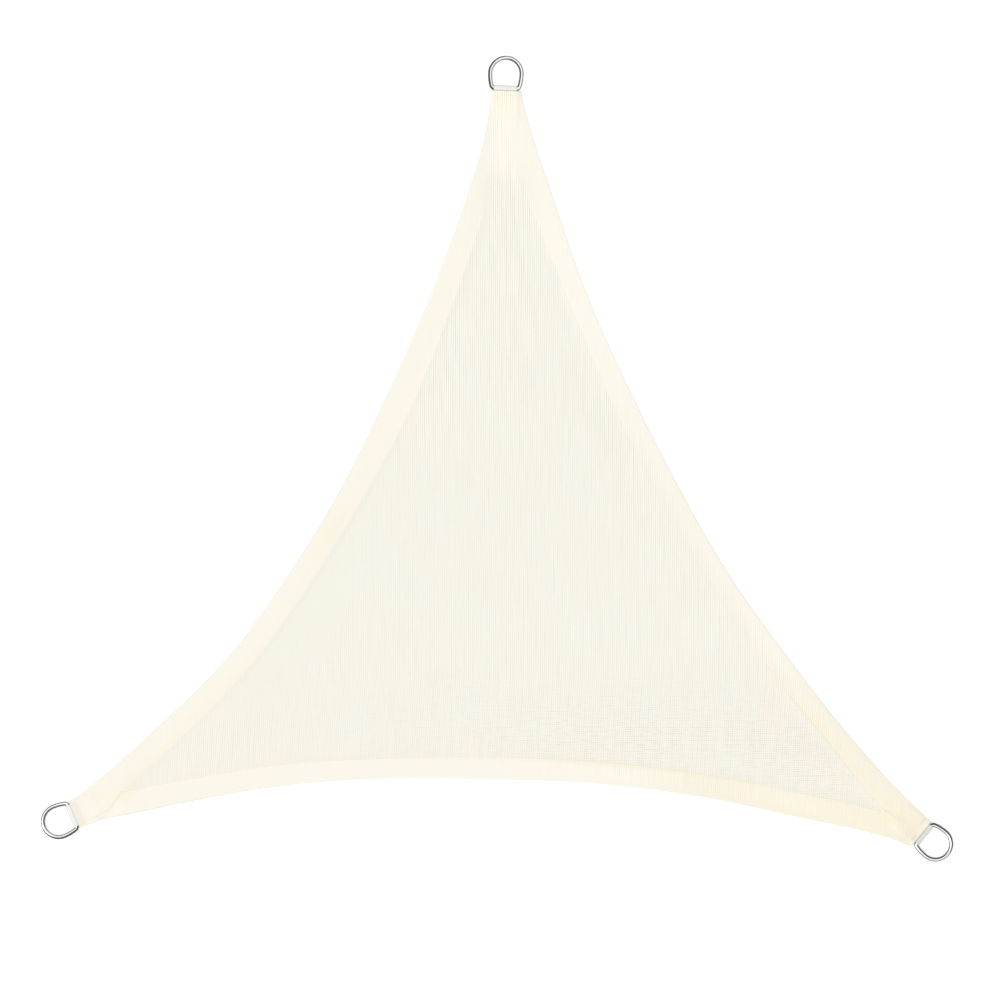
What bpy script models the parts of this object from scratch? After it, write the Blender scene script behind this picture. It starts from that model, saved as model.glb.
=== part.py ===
"""A three-cornered knitted shade sail, laid out flat.

The cloth is one piece, its hem folded under. At each corner a short webbing strap runs round the straight bar
of a steel D-ring, and the strap's doubled tail sits in the mouth of the folded cloth.

Metres. The sail lies in the XY plane, its face up (+Z) and the first corner towards +Y.
The origin is the middle of the outer box, on the surface that the sail lies on.
"""

import math
from bisect import bisect_right

import bmesh
import bpy
import numpy as np
from mathutils import Matrix, Vector
from mathutils.geometry import delaunay_2d_cdt, intersect_line_line_2d

# Cloth
LAYER = 0.0015  # one layer of the knitted cloth
HEM_STEP = 0.0040  # how far the face slopes down from the folded hem to the single layer
FOLD_ROUND = 0.0006  # how much the folded outer edge is rounded
RIPPLE = 0.0012  # how far the hem's outer edge lifts off the floor between its resting points
RIPPLES = 7  # lifts along one side
CALM_SHARE = 0.12  # the ripples start this share of a side away from its corners, and are full at twice it
GAP = 0.0003  # clearance between neighbouring pieces

# Webbing strap
STRAP_WIDTH = 0.050
STRAP_THICK = 0.0018
STRAP_TAIL = 0.040  # from the ring's bar to the end of the tail inside the cloth
STRAP_BEND = 0.020  # from the ring's bar to where the two runs of the strap meet

# D-ring
WIRE = 0.0093  # diameter of the ring's wire
RING_WIDTH = 0.0785  # outside, across the widest place
RING_HEIGHT = 0.0770  # outside, from the bar's back to the far end
RING_CORNER = 0.0080  # bend radius of the wire's middle at the ends of the bar
RING_SIDE = 0.105  # bend radius of the slightly bowed sides
BAR_PLAY = 0.0008  # clearance of the strap round the bar

# Where the rings sit: the bar's middle, and the direction in which the ring points away from the cloth. The
# cloth's cut end lies behind the bar. Its halves are as wide as "left" and "right" say, seen looking outward.
CORNERS = (
    # name, bar x, bar y, outward degrees, left half, right half, left set back, right set back
    ("top", 0.0172, 0.8134, 88.0, 0.0306, 0.0358, 0.0050, 0.0049),
    ("left", -0.9348, -0.7858, 203.0, 0.0312, 0.0318, 0.0049, 0.0058),
    ("right", 0.9379, -0.8268, 320.5, 0.0325, 0.0395, 0.0049, 0.0049),
)

# How each side is cut, from one corner to the next, counter-clockwise: the depth of its hollow below the
# straight line between the two corner ends, in millimetres, at these shares of the line.
STATIONS = (0.0, 0.025, 0.06, 0.125, 0.25, 0.375, 0.5, 0.625, 0.75, 0.875, 0.94, 0.975, 1.0)
HOLLOW = {
    "left": (0, 19.8, 42.7, 71.2, 114.2, 143.0, 161.5, 159.9, 138.3, 79.4, 42.4, 19.8, 0),
    "bottom": (0, 17.4, 32.0, 60.5, 103.9, 123.5, 126.9, 121.9, 97.7, 54.9, 32.5, 17.1, 0),
    "right": (0, 15.0, 33.4, 59.9, 96.5, 121.7, 123.6, 113.2, 92.1, 51.6, 28.5, 14.1, 0),
}
# The sewn hem's width at the same stations, in millimetres.
HEM = {
    "left": (52, 50.7, 49.5, 48.5, 53, 60, 53.3, 51, 50.7, 53.6, 54, 54, 54),
    "bottom": (54, 53.5, 53, 50.5, 48, 46, 50.5, 50, 51, 55, 53.5, 53.5, 53.5),
    "right": (54, 54, 54, 47.5, 49.5, 47.5, 48.5, 48.5, 43.5, 55.5, 60, 60, 60),
}
MM = 0.001

# Mesh density
SIDE_STEPS = 84
CROWDING = 0.4  # how far a side's points crowd towards its two ends
BODY_SPACING = 0.062
WIRE_SIDES = 12
CROWN_STEPS = 23  # odd, so that one face lies square across the ring's far end
CORNER_STEPS = 5
BOWED_STEPS = 3
LOOP_STEPS = 22

# Sizes that follow from those above
WIRE_R = WIRE / 2
LOOP_INNER = WIRE_R + BAR_PLAY
LOOP_OUTER = LOOP_INNER + STRAP_THICK
BAR_HEIGHT = LOOP_OUTER  # the loop rests on the floor
CROWN_R = (RING_WIDTH - WIRE) / 2
RING_REACH = RING_HEIGHT - WIRE  # between the middles of the bar and of the far end
RING_TILT = math.asin((BAR_HEIGHT - WIRE_R) / RING_REACH)  # the far end rests on the floor too
TAIL_BOTTOM = LAYER + GAP
TAIL_TOP = TAIL_BOTTOM + 2 * STRAP_THICK
HALF_STRAP = STRAP_WIDTH / 2
POCKET_END = STRAP_TAIL + GAP


# ---------------------------------------------------------------------------------------------- helpers


def clear_scene():
    for old in list(bpy.data.objects):
        bpy.data.objects.remove(old)


def make_material(name, colour, roughness, metallic=0.0):
    material = bpy.data.materials.new(name)
    material.use_nodes = True
    surface = material.node_tree.nodes["Principled BSDF"]
    surface.inputs["Base Color"].default_value = (*colour, 1.0)
    surface.inputs["Roughness"].default_value = roughness
    surface.inputs["Metallic"].default_value = metallic
    return material


def make_object(name, bm, material):
    bmesh.ops.recalc_face_normals(bm, faces=bm.faces)
    mesh = bpy.data.meshes.new(name)
    bm.to_mesh(mesh)
    bm.free()
    mesh.materials.append(material)
    mesh.shade_smooth()
    mesh.set_sharp_from_angle(angle=math.radians(35))
    made = bpy.data.objects.new(name, mesh)
    bpy.context.scene.collection.objects.link(made)
    return made


def prism(outline, width, hole=()):
    """A closed body: an outline in the plane of X and Z, with an optional hole, as wide as given along Y."""
    bm = bmesh.new()
    edges = []
    for loop in (outline, hole):
        verts = [bm.verts.new((x, -width / 2, z)) for x, z in loop]
        edges += [bm.edges.new((verts[i - 1], verts[i])) for i in range(len(verts))]
    filled = bmesh.ops.triangle_fill(bm, use_beauty=True, edges=edges)
    faces = [item for item in filled["geom"] if isinstance(item, bmesh.types.BMFace)]
    extruded = bmesh.ops.extrude_face_region(bm, geom=faces, use_keep_orig=True)
    moved = [item for item in extruded["geom"] if isinstance(item, bmesh.types.BMVert)]
    bmesh.ops.translate(bm, vec=(0, width, 0), verts=moved)
    return bm


def smooth(values, share):
    """The value at a share of a side, on a smooth curve through the values at the stations."""
    slopes = np.gradient(values, STATIONS)
    i = min(max(bisect_right(STATIONS, share) - 1, 0), len(STATIONS) - 2)
    step = STATIONS[i + 1] - STATIONS[i]
    t = (share - STATIONS[i]) / step
    rise = t * t * (3 - 2 * t)
    return float(
        values[i] * (1 - rise)
        + values[i + 1] * rise
        + step * slopes[i] * t * (1 - t) ** 2
        - step * slopes[i + 1] * t * t * (1 - t)
    )


# ---------------------------------------------------------------------------------------------- corners


class Corner:
    """One corner's own frame: x outward from the middle of the ring's bar, y to the left, on the floor."""

    def __init__(self, row):
        self.name, bar_x, bar_y, degrees, self.left, self.right, self.back_left, self.back_right = row
        self.bar = Vector((bar_x, bar_y))
        self.angle = math.radians(degrees)
        self.out = Vector((math.cos(self.angle), math.sin(self.angle)))
        self.across = Vector((-self.out.y, self.out.x))

    def plan(self, x, y):
        return self.bar + self.out * x + self.across * y

    def local(self, point):
        offset = point - self.bar
        return offset.dot(self.out), offset.dot(self.across)

    def end_x(self, y):
        """Where the cloth's cut end lies, at a distance to the left of the ring's middle line."""
        share = (y + self.right) / (self.left + self.right)
        return -(self.back_right + (self.back_left - self.back_right) * share)

    def place(self):
        return Matrix.Translation((*self.bar, 0)) @ Matrix.Rotation(self.angle, 4, "Z")


# ------------------------------------------------------------------------------------------------ strap


def strap_slope():
    """The angle of the point where the strap's upper run leaves the loop, and that run's fall per metre."""
    bend = Vector((-STRAP_BEND, TAIL_TOP - BAR_HEIGHT))
    leave = math.atan2(bend.y, bend.x) % math.tau - math.acos(LOOP_OUTER / bend.length)
    return leave, -1 / math.tan(leave)


def strap_loop(radius, tail_level):
    """The strap's loop in the corner's X and Z, from where it meets its lower run up to where it leaves."""
    leave = strap_slope()[0]
    meet = -math.pi - math.asin((tail_level - BAR_HEIGHT) / radius)
    angles = np.linspace(meet, leave, LOOP_STEPS)
    return [(radius * math.cos(a), BAR_HEIGHT + radius * math.sin(a)) for a in angles]


def strap_top(x, lift=0.0):
    """The height of the strap's upper side at x, with a clearance measured square to it."""
    leave, fall = strap_slope()
    start_x = LOOP_OUTER * math.cos(leave)
    start_z = BAR_HEIGHT + LOOP_OUTER * math.sin(leave)
    sloping = start_z + fall * (x - start_x) + lift * math.hypot(1, fall)
    return max(sloping, TAIL_TOP + lift)


def make_strap(corner, material):
    middle = TAIL_BOTTOM + STRAP_THICK
    outline = strap_loop(LOOP_OUTER, TAIL_BOTTOM)
    outline += [(-STRAP_BEND, TAIL_TOP), (-STRAP_TAIL, TAIL_TOP), (-STRAP_TAIL, TAIL_BOTTOM)]
    hole = strap_loop(LOOP_INNER, middle)
    last_x, last_z = hole[-1]
    hole.append((last_x - (last_z - middle) / strap_slope()[1], middle))
    strap = make_object(f"webbing_loop_{corner.name}", prism(outline, STRAP_WIDTH, hole), material)
    strap.matrix_world = corner.place()
    return strap


# ------------------------------------------------------------------------------------------------- ring


def ring_path():
    """The middle of the ring's wire, as (point, outward normal), starting on the left of the crown."""
    crown_x = RING_REACH - CROWN_R
    lean = math.asin((crown_x - RING_CORNER) / (RING_SIDE - RING_CORNER))
    corner_y = CROWN_R - (RING_SIDE - RING_CORNER) * (1 - math.cos(lean)) - RING_CORNER
    arcs = (
        # middle x, middle y, radius, first angle, last angle, steps
        (crown_x, 0, CROWN_R, -math.pi / 2, math.pi / 2, CROWN_STEPS),
        (crown_x, CROWN_R - RING_SIDE, RING_SIDE, math.pi / 2, math.pi / 2 + lean, BOWED_STEPS),
        (RING_CORNER, corner_y, RING_CORNER, math.pi / 2 + lean, math.pi, CORNER_STEPS),
        (RING_CORNER, -corner_y, RING_CORNER, -math.pi, -math.pi / 2 - lean, CORNER_STEPS),
        (crown_x, RING_SIDE - CROWN_R, RING_SIDE, -math.pi / 2 - lean, -math.pi / 2, BOWED_STEPS),
    )
    path = []
    for x, y, radius, first, last, steps in arcs:
        for a in np.linspace(first, last, steps + 1):
            normal = Vector((math.cos(a), math.sin(a), 0))
            point = Vector((x, y, 0)) + normal * radius
            if not path or (point - path[-1][0]).length > 1e-6:
                path.append((point, normal))
    if (path[0][0] - path[-1][0]).length < 1e-6:
        path.pop()
    return path


def make_ring(corner, material):
    bm = bmesh.new()
    sections = []
    for point, normal in ring_path():
        turns = [(i + 0.5) * math.tau / WIRE_SIDES for i in range(WIRE_SIDES)]
        offsets = [normal * math.cos(t) + Vector((0, 0, math.sin(t))) for t in turns]
        sections.append([bm.verts.new(point + offset * WIRE_R) for offset in offsets])
    for s, section in enumerate(sections):
        before = sections[s - 1]
        for i in range(WIRE_SIDES):
            bm.faces.new((before[i - 1], before[i], section[i], section[i - 1]))
    ring = make_object(f"d_ring_{corner.name}", bm, material)
    lift = Matrix.Translation((0, 0, BAR_HEIGHT))
    ring.matrix_world = corner.place() @ lift @ Matrix.Rotation(RING_TILT, 4, "Y")
    return ring


# ------------------------------------------------------------------------------------------------ cloth

STRAP_SHOULDER = HALF_STRAP + 0.0013  # how far the cloth lies at full height beside the strap's middle
TAPER_END = 0.056  # from the ring's bar to where the corner is down to the hem's two layers
END_STATIONS = (-0.0125, -STRAP_BEND, -0.030, -POCKET_END - LAYER, -0.049, -TAPER_END)  # from the bar
CLEAR_OF_HEM = 0.030  # how far the body's inner points stay from the hem's edge
PAST_END = 0.006  # how far the cut that opens a corner's end runs past the ring's bar


def side_ends(corners):
    """For each side, its name and its two corner ends, counter-clockwise."""
    names = ("left", "bottom", "right")
    for i, name in enumerate(names):
        start, end = corners[i], corners[(i + 1) % 3]
        yield (
            name,
            start.plan(start.end_x(start.left), start.left),
            end.plan(end.end_x(-end.right), -end.right),
        )


def side_shares():
    even = np.linspace(0, 1, SIDE_STEPS + 1)
    return even * (1 - CROWDING) + (0.5 - 0.5 * np.cos(math.pi * even)) * CROWDING


def side_lines(name, start, end):
    """The side's outer edge, its hem's inner edge and the foot of the slope inside it, corner to corner."""
    along = end - start
    inward = Vector((-along.y, along.x)).normalized()
    edge = [start + along * s + inward * smooth(HOLLOW[name], s) * MM for s in side_shares()]
    lip, foot = [], []
    for i, s in enumerate(side_shares()):
        run = edge[min(i + 1, SIDE_STEPS)] - edge[max(i - 1, 0)]
        inward = Vector((-run.y, run.x)).normalized()
        width = smooth(HEM[name], s) * MM
        lip.append(edge[i] + inward * width)
        foot.append(edge[i] + inward * (width + HEM_STEP))
    return edge, lip, foot


def crossing(one, two):
    """Where the second half of one line crosses the first half of the next, and on which segments."""
    for i in range(len(one) // 2, len(one) - 1):
        for j in range(len(two) // 2):
            point = intersect_line_line_2d(one[i], one[i + 1], two[j], two[j + 1])
            if point is not None:
                return i, j, point
    raise ValueError("the hem's inner edges don't meet")


def trim_at_crossings(lines):
    """Cuts three lines that cross near the sail's corners back to the loop between the crossings."""
    crossings = [crossing(lines[k - 1], lines[k]) for k in range(3)]
    loop = []
    for k, (_, first, point) in enumerate(crossings):
        last = crossings[(k + 1) % 3][0]
        loop.append(point)
        loop += lines[k][first + 1 : last + 1]
    return loop


def inset(loop, distance):
    """The loop moved inward with its corners kept sharp, for a loop that runs counter-clockwise."""
    moved = []
    for i, point in enumerate(loop):
        before = (point - loop[i - 1]).normalized()
        after = (loop[(i + 1) % len(loop)] - point).normalized()
        inward = Vector((-before.y - after.y, before.x + after.x))
        moved.append(point + inward * distance / (1 + before.dot(after)))
    return moved


def end_widths(corner):
    """Distances to the left of the ring's middle line at which the cloth's end has a point, right to left."""
    half_way = [(STRAP_SHOULDER + side) / 2 for side in (corner.left, corner.right)]
    level = [0.0, STRAP_SHOULDER / 2, STRAP_SHOULDER]
    return [-half_way[1], *[-y for y in level[:0:-1]], *level, half_way[0]]


def corner_height(corners, point):
    """The height of the doubled cloth's upper side: two layers, and more over a strap's tail."""
    for corner in corners:
        x, y = corner.local(point)
        if x < -TAPER_END:
            continue
        shoulder = strap_top(max(x, -POCKET_END), GAP + LAYER)
        full = shoulder - 2 * LAYER
        if x < -POCKET_END - LAYER:
            full *= (x + TAPER_END) / (TAPER_END - POCKET_END - LAYER)
        reach = (corner.left if y > 0 else corner.right) - STRAP_SHOULDER
        beside = min(max((abs(y) - STRAP_SHOULDER) / reach, 0.0), 1.0)
        return 2 * LAYER + full * (1 - beside)
    return 2 * LAYER


def inside(loop, point):
    crossings = 0
    for i, b in enumerate(loop):
        a = loop[i - 1]
        if (a.y > point.y) != (b.y > point.y):
            crossings += point.x < a.x + (b.x - a.x) * (point.y - a.y) / (b.y - a.y)
    return crossings % 2 == 1


def body_points(foot):
    """Evenly spread points inside the hem, in rows that are set half a step apart."""
    low_x, high_x = min(p.x for p in foot), max(p.x for p in foot)
    low_y, high_y = min(p.y for p in foot), max(p.y for p in foot)
    keep_in = inset(foot, CLEAR_OF_HEM)
    row_step = BODY_SPACING * math.sqrt(3) / 2
    points = []
    for row in range(int((high_y - low_y) / row_step) + 1):
        for column in range(int((high_x - low_x) / BODY_SPACING) + 1):
            shift = (column + row % 2 / 2) * BODY_SPACING
            point = Vector((low_x + shift, low_y + row * row_step))
            if inside(keep_in, point):
                points.append(point)
    return points


def outer_loop(corners, edges):
    """The cloth's outline, counter-clockwise from the first corner's left end, and each point's lift."""
    loop, lifts = [], []
    for k, edge in enumerate(edges):
        for point, share in zip(edge, side_shares()):
            wave = 0.5 - 0.5 * math.cos(math.tau * RIPPLES * share)
            calm = min(max(min(share, 1 - share) / CALM_SHARE - 1, 0.0), 1.0)
            loop.append(point)
            lifts.append(RIPPLE * wave * calm)
        corner = corners[(k + 1) % 3]
        for y in end_widths(corner):
            loop.append(corner.plan(corner.end_x(y), y))
            lifts.append(0.0)
    return loop, lifts


def make_cloth(corners, material):
    side_edges, lips, feet = zip(*(side_lines(*ends) for ends in side_ends(corners)))
    outline, lifts = outer_loop(corners, side_edges)
    rim = inset(outline, FOLD_ROUND)
    lip = trim_at_crossings(lips)
    foot = trim_at_crossings(feet)
    corner_points = [
        corner.plan(x, y) for corner in corners for x in END_STATIONS for y in end_widths(corner)
    ]
    groups = [rim, lip, foot, corner_points, body_points(foot)]
    points = [point for group in groups for point in group]
    edges = []
    start = 0
    for loop in groups[:3]:
        edges += [(start + i, start + (i + 1) % len(loop)) for i in range(len(loop))]
        start += len(loop)
    single = set(range(len(rim) + len(lip), start)) | set(range(start + len(corner_points), len(points)))
    found = delaunay_2d_cdt(points, edges, [], 1, 1e-7)
    flat_points, triangles, sources = found[0], found[2], found[3]

    bm = bmesh.new()
    lower, upper = [], []
    for point, source in zip(flat_points, sources):
        number = source[0] if source else -1
        lift = lifts[number] if 0 <= number < len(rim) else 0.0
        height = LAYER if number in single else corner_height(corners, point)
        lower.append(bm.verts.new((point.x, point.y, lift)))
        upper.append(bm.verts.new((point.x, point.y, lift + height)))
    for triangle in triangles:
        bm.faces.new([upper[i] for i in triangle])
        bm.faces.new([lower[i] for i in reversed(triangle)])
    place_of = {source[0]: i for i, source in enumerate(sources) if source}
    fold = []
    for i, point in enumerate(outline):
        at = place_of[i]
        fold.append(bm.verts.new((point.x, point.y, (lower[at].co.z + upper[at].co.z) / 2)))
    for i in range(len(outline)):
        here, there = place_of[i], place_of[(i + 1) % len(outline)]
        fold_here, fold_there = fold[i], fold[(i + 1) % len(outline)]
        bm.faces.new((lower[here], lower[there], fold_there, fold_here))
        bm.faces.new((fold_here, fold_there, upper[there], upper[here]))
    return make_object("sail_cloth", bm, material)


def cut_pocket(cloth, corner):
    """Opens the corner's folded end for the strap's tail."""
    outline = [
        (PAST_END, LAYER),
        (PAST_END, strap_top(PAST_END, GAP)),
        (-STRAP_BEND, strap_top(-STRAP_BEND, GAP)),
        (-POCKET_END, TAIL_TOP + GAP),
        (-POCKET_END, LAYER),
    ]
    room = prism(outline, STRAP_WIDTH + 2 * GAP)
    cutter = make_object(f"pocket_{corner.name}", room, cloth.active_material)
    cutter.matrix_world = corner.place()
    cutter.hide_render = True
    cutter.display_type = "WIRE"
    pocket = cloth.modifiers.new(f"pocket_{corner.name}", "BOOLEAN")
    pocket.operation = "DIFFERENCE"
    pocket.object = cutter
    return cutter


# ------------------------------------------------------------------------------------------------- sail


def centre_in_plan(pieces, measured):
    """Hangs the pieces on an empty that puts the middle of the measured ones' box over the origin."""
    bpy.context.view_layer.update()
    places = [piece.matrix_world @ vert.co for piece in measured for vert in piece.data.vertices]
    middle = [(min(p[axis] for p in places) + max(p[axis] for p in places)) / 2 for axis in (0, 1)]
    origin = bpy.data.objects.new("sail_origin", None)
    bpy.context.scene.collection.objects.link(origin)
    origin.location = (-middle[0], -middle[1], 0)
    for piece in pieces:
        piece.parent = origin


def main():
    clear_scene()
    cloth_finish = make_material("ivory_knitted_cloth", (0.91, 0.88, 0.76), 0.85)
    corners = [Corner(row) for row in CORNERS]
    cloth = make_cloth(corners, cloth_finish)
    pieces = [cloth]
    rings = []
    for corner in corners:
        pieces.append(cut_pocket(cloth, corner))
        webbing_finish = make_material(f"white_webbing_{corner.name}", (0.86, 0.88, 0.87), 0.7)
        pieces.append(make_strap(corner, webbing_finish))
        ring_finish = make_material(f"polished_steel_{corner.name}", (0.62, 0.62, 0.60), 0.12, 1.0)
        rings.append(make_ring(corner, ring_finish))
    centre_in_plan(pieces + rings, rings)


main()
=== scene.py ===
"""The shade sail as it lies: one piece of knitted cloth with its hem sewn under, a webbing loop and a steel D-ring
at each corner, and the sewing. Metres, in the frame of the solids, the sail's face up (+Z)."""

import math

import bmesh
import bpy
import numpy as np
from mathutils import Matrix, Vector
from mathutils.geometry import delaunay_2d_cdt


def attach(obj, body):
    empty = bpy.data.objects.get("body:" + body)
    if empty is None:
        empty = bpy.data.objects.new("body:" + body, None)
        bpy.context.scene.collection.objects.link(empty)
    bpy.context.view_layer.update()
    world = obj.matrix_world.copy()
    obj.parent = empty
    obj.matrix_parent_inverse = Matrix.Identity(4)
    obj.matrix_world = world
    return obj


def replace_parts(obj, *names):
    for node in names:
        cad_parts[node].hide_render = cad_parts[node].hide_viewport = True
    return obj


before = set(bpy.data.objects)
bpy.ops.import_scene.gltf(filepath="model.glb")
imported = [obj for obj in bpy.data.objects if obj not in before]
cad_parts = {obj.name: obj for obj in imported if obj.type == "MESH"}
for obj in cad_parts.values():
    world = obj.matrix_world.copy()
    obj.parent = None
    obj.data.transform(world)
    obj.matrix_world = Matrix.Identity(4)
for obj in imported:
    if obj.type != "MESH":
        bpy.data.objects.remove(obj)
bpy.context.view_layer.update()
BODY = "root"

# ---- sizes of the sail

# Cloth
CLOTH_THICK = 0.0008  # the knitted cloth as it shows, thinner than the layers of the solid
BODY_LEVEL = 0.0006  # the middle of the single layer over the floor
HEM_LEVEL = 0.0022  # the middle of the face layer where the folded hem lies under it
UNDER_LEVEL = 0.0005  # the middle of the hem's folded layer
FOLD_R = 0.0008  # radius of the fold along the sail's edge
SEAM_IN = 0.0012  # from the folded layer's end back to the row of stitches
DRAPE = 0.0100  # how far the face takes to come down from the hem to the floor
CALM = 0.112  # from a ring's bar to where the corner's own shape ends
END_BULGE = 0.0005  # how far the cut end bows out over the strap

# Relief of the cloth's face
FULLNESS = 0.0006  # how far the hem stands up between its fold and its stitches
STITCH_DIP = 0.0006  # how far the stitches pull it down
PUCKER = 0.0005  # puckers across the seam
SWELL = 0.0016  # slow swells of the single layer
GATHER = 0.0002  # ridges that point at the rings

# Where the points of the cloth's mesh lie: lines this far inside the hem's inner edge and the folded edge, and
# grids over the rest
SEAM_LINES = (-0.0100, -0.0055, -0.0030, -0.0008, 0.0016, 0.0040, 0.0072, 0.0130)
HEM_LINES = (0.0045, 0.0115, 0.0200, 0.0290, 0.0370)
UNDER_LINES = (0.010, 0.022, 0.034)
FACE_STEP = 0.0105
END_STEP = 0.0034
UNDER_STEP = 0.009
END_REACH = 0.062  # how far the corners' grids go to each side of the ring's middle line
FOLD_DEGREES = (50, 0, -50)  # where the rounded fold's rows stand
TOUCH = 1e-5  # a rounding error between points on one line
FAR = 9.0

# Webbing strap
STRAP_WIDTH = 0.050
STRAP_THICK = 0.0018
STRAP_TAIL = 0.040
STRAP_BEND = 0.020
GAP = 0.0003
LAYER = 0.0015

# D-ring
WIRE = 0.0093
RING_WIDTH = 0.0785
RING_HEIGHT = 0.0770
RING_CORNER = 0.0080
RING_SIDE = 0.105
BAR_PLAY = 0.0008

# The ring's bar, the direction in which the ring points away from the cloth, and the cloth's cut end behind the
# bar: how wide its two halves are and how far they are set back, seen looking outward.
CORNERS = (
    # name, bar x, bar y, outward degrees, left half, right half, left set back, right set back
    ("top", 0.01811, 0.81410, 88.0, 0.0306, 0.0358, 0.0050, 0.0049),
    ("left", -0.93389, -0.78510, 203.0, 0.0312, 0.0318, 0.0049, 0.0058),
    ("right", 0.93881, -0.82610, 320.5, 0.0325, 0.0395, 0.0049, 0.0049),
)

# How each side is cut, counter-clockwise: the depth of its hollow and the width of its hem, in millimetres, at
# these shares of the straight line between its corners.
STATIONS = np.array((0.0, 0.025, 0.06, 0.125, 0.25, 0.375, 0.5, 0.625, 0.75, 0.875, 0.94, 0.975, 1.0))
SIDES = {
    "left": (
        (0, 19.8, 42.7, 71.2, 114.2, 143.0, 161.5, 159.9, 138.3, 79.4, 42.4, 19.8, 0),
        (52, 50.7, 49.5, 48.5, 53, 60, 53.3, 51, 50.7, 53.6, 54, 54, 54),
    ),
    "bottom": (
        (0, 17.4, 32.0, 60.5, 103.9, 123.5, 126.9, 121.9, 97.7, 54.9, 32.5, 17.1, 0),
        (54, 53.5, 53, 50.5, 48, 46, 50.5, 50, 51, 55, 53.5, 53.5, 53.5),
    ),
    "right": (
        (0, 15.0, 33.4, 59.9, 96.5, 121.7, 123.6, 113.2, 92.1, 51.6, 28.5, 14.1, 0),
        (54, 54, 54, 47.5, 49.5, 47.5, 48.5, 48.5, 43.5, 55.5, 60, 60, 60),
    ),
}
MM = 0.001

FOLD_LINE = -0.4765  # the old fold across the sail

# Soft creases left by folding and sewing, in millimetres: from x, y, to x, y, height, half width
CREASES = (
    (-827, -733, -900, -786, 1.3, 4),
    (-874, -744, -785, -696, 1, 8),
    (-892, -768, -856, -757, 0.8, 4),
    (-886, -790, -856, -771, 0.6, 3.5),
    (845, -769, 903, -800, 1.2, 4.5),
    (889, -755, 889, -790, 1, 3),
    (842, -762, 868, -748, 0.9, 3),
    (854, -770, 872, -762, 0.8, 3),
    (860, -790, 893, -806, 0.8, 3.5),
    (16, 802, 16, 700, 0.8, 3),
    (7, 796, 4, 735, 0.5, 2.5),
    (-520, -476, 690, -480, 1, 5),
)

# What the cloth's face carries at each point: how far it is inside the hem, the folded edge and the cut end, how
# open the gaps between its ribs and its rows are, how uneven its yarn shows, how much yellower, more olive and
# darker it is, where the hem's tone has no edge, its tone there, and how dark the sail's edge is painted, for
# soiling and as shade
CLOTH_MAPS = (
    "from_hem", "from_edge", "from_end", "rib_depth", "row_depth", "unevenness",
    "warmth", "olive", "dusk", "faded", "tone", "soiling_and_shade",
)
# The same in the hem's folded layer and round the fold
UNDER_MAPS = (-0.02, 0.02, 0.05, 0.1, 0.1, 0.5, 0.0, 0.0, 0.0, 0.0, 1.0, 0.2)
FOLD_MAPS = (-0.05, 0.0, 0.05, 0.0, 0.0, 0.2, 0.0, 0.0, 0.0, 0.0, 1.0, 0.2)
# Away from the ovals: how open the ribs and the rows are, how hard the seam pulls, and how much soiling and
# painted shade the edge carries
RIBS_OPEN, ROWS_OPEN, SEAM_PULLED, EDGE_SOILING_AND_SHADE_BASE = 0.15, 0.03, 0.25, 0.16

# Soft ovals: x, y, half length and half width in millimetres, degrees, amount
OPEN_RIBS = (
    (18, 450, 360, 85, 90, 0.33),
    (-115, 175, 160, 45, 72, 0.34),
    (245, 85, 150, 36, -62, 0.3),
    (425, -267, 340, 55, -55, 0.17),
    (200, -540, 620, 180, 0, 0.11),
    (-600, -625, 130, 50, 20, 0.22),
    (2, 745, 90, 30, 90, 0.16),
    (-456, -370, 200, 75, 54, -0.26),
    (16, 790, 50, 22, 0, 0.1),
    (16, 803, 45, 10, 0, 0.3),
    (640, -620, 160, 70, -45, 0.07),
    (560, -755, 300, 30, -12, 0.32),
    (770, -625, 170, 30, -49, 0.28),
    (-600, -600, 120, 50, 30, 0.05),
    (-800, -710, 70, 30, 28, -0.3),
)
OPEN_ROWS = (
    (290, -600, 460, 85, 0, 0.19),
    (300, -640, 200, 70, 0, 0.08),
    (690, -700, 150, 70, -30, 0.24),
)
SMOOTH_YARN = (
    (-456, -340, 250, 70, 54, 1.1),
    (-330, -130, 130, 50, 57, 0.5),
)
RIBBED_HEM = (
    (320, 30, 110, 45, -62, 0.9),
    (600, -410, 330, 80, -55, 1.4),
    (-2, 730, 120, 40, 90, 1.2),
    (16, 790, 55, 30, 0, 1.2),
    (480, -735, 420, 80, -10, 1.3),
)
FADED_SEAM = (
    (480, -245, 330, 80, -60, 1.9),
    (14, 640, 110, 60, 90, 1.8),
    (-815, -708, 40, 14, 32, 0.5),
)
WARM_HEM = (
    (-360, -100, 800, 250, 58, 0.09),
    (875, -770, 120, 80, -35, 0.4),
    (912, -812, 35, 28, -40, 0.22),
    (660, -770, 240, 60, -12, 0.42),
    (722, -604, 140, 12, -49, 0.4),
    (745, -590, 150, 35, -49, 0.26),
    (395, -70, 130, 14, -63, 0.12),
    (525, -300, 50, 20, -60, 0.15),
    (-365, -160, 70, 30, 58, 0.24),
    (-560, -474, 130, 14, 48, 0.22),
    (-740, -655, 150, 15, 43, 0.36),
    (-840, -742, 60, 14, 10, 0.28),
    (-913, -802, 16, 10, 30, 0.42),
    (-922, -772, 26, 10, -67, 0.16),
    (10, 790, 40, 30, 0, 0.22),
    (861, -758, 15, 3, 22, 0.4),
    (870, -787, 20, 3, -33, 0.35),
    (889, -775, 17, 3, -85, 0.3),
    (430, -716, 110, 22, -10, 0.14),
    (640, -752, 170, 30, -12, 0.1),
    (800, -700, 120, 14, -49, 0.1),
    (229, 279, 200, 18, -67, -0.1),
)
WARM_BODY = (
    (770, -715, 180, 50, -22, 0.08),
    (600, -460, 250, 40, -55, 0.06),
    (-803, -718, 35, 22, 28, 0.3),
    (-801, -711, 5, 3, 28, 0.6),
)
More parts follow.
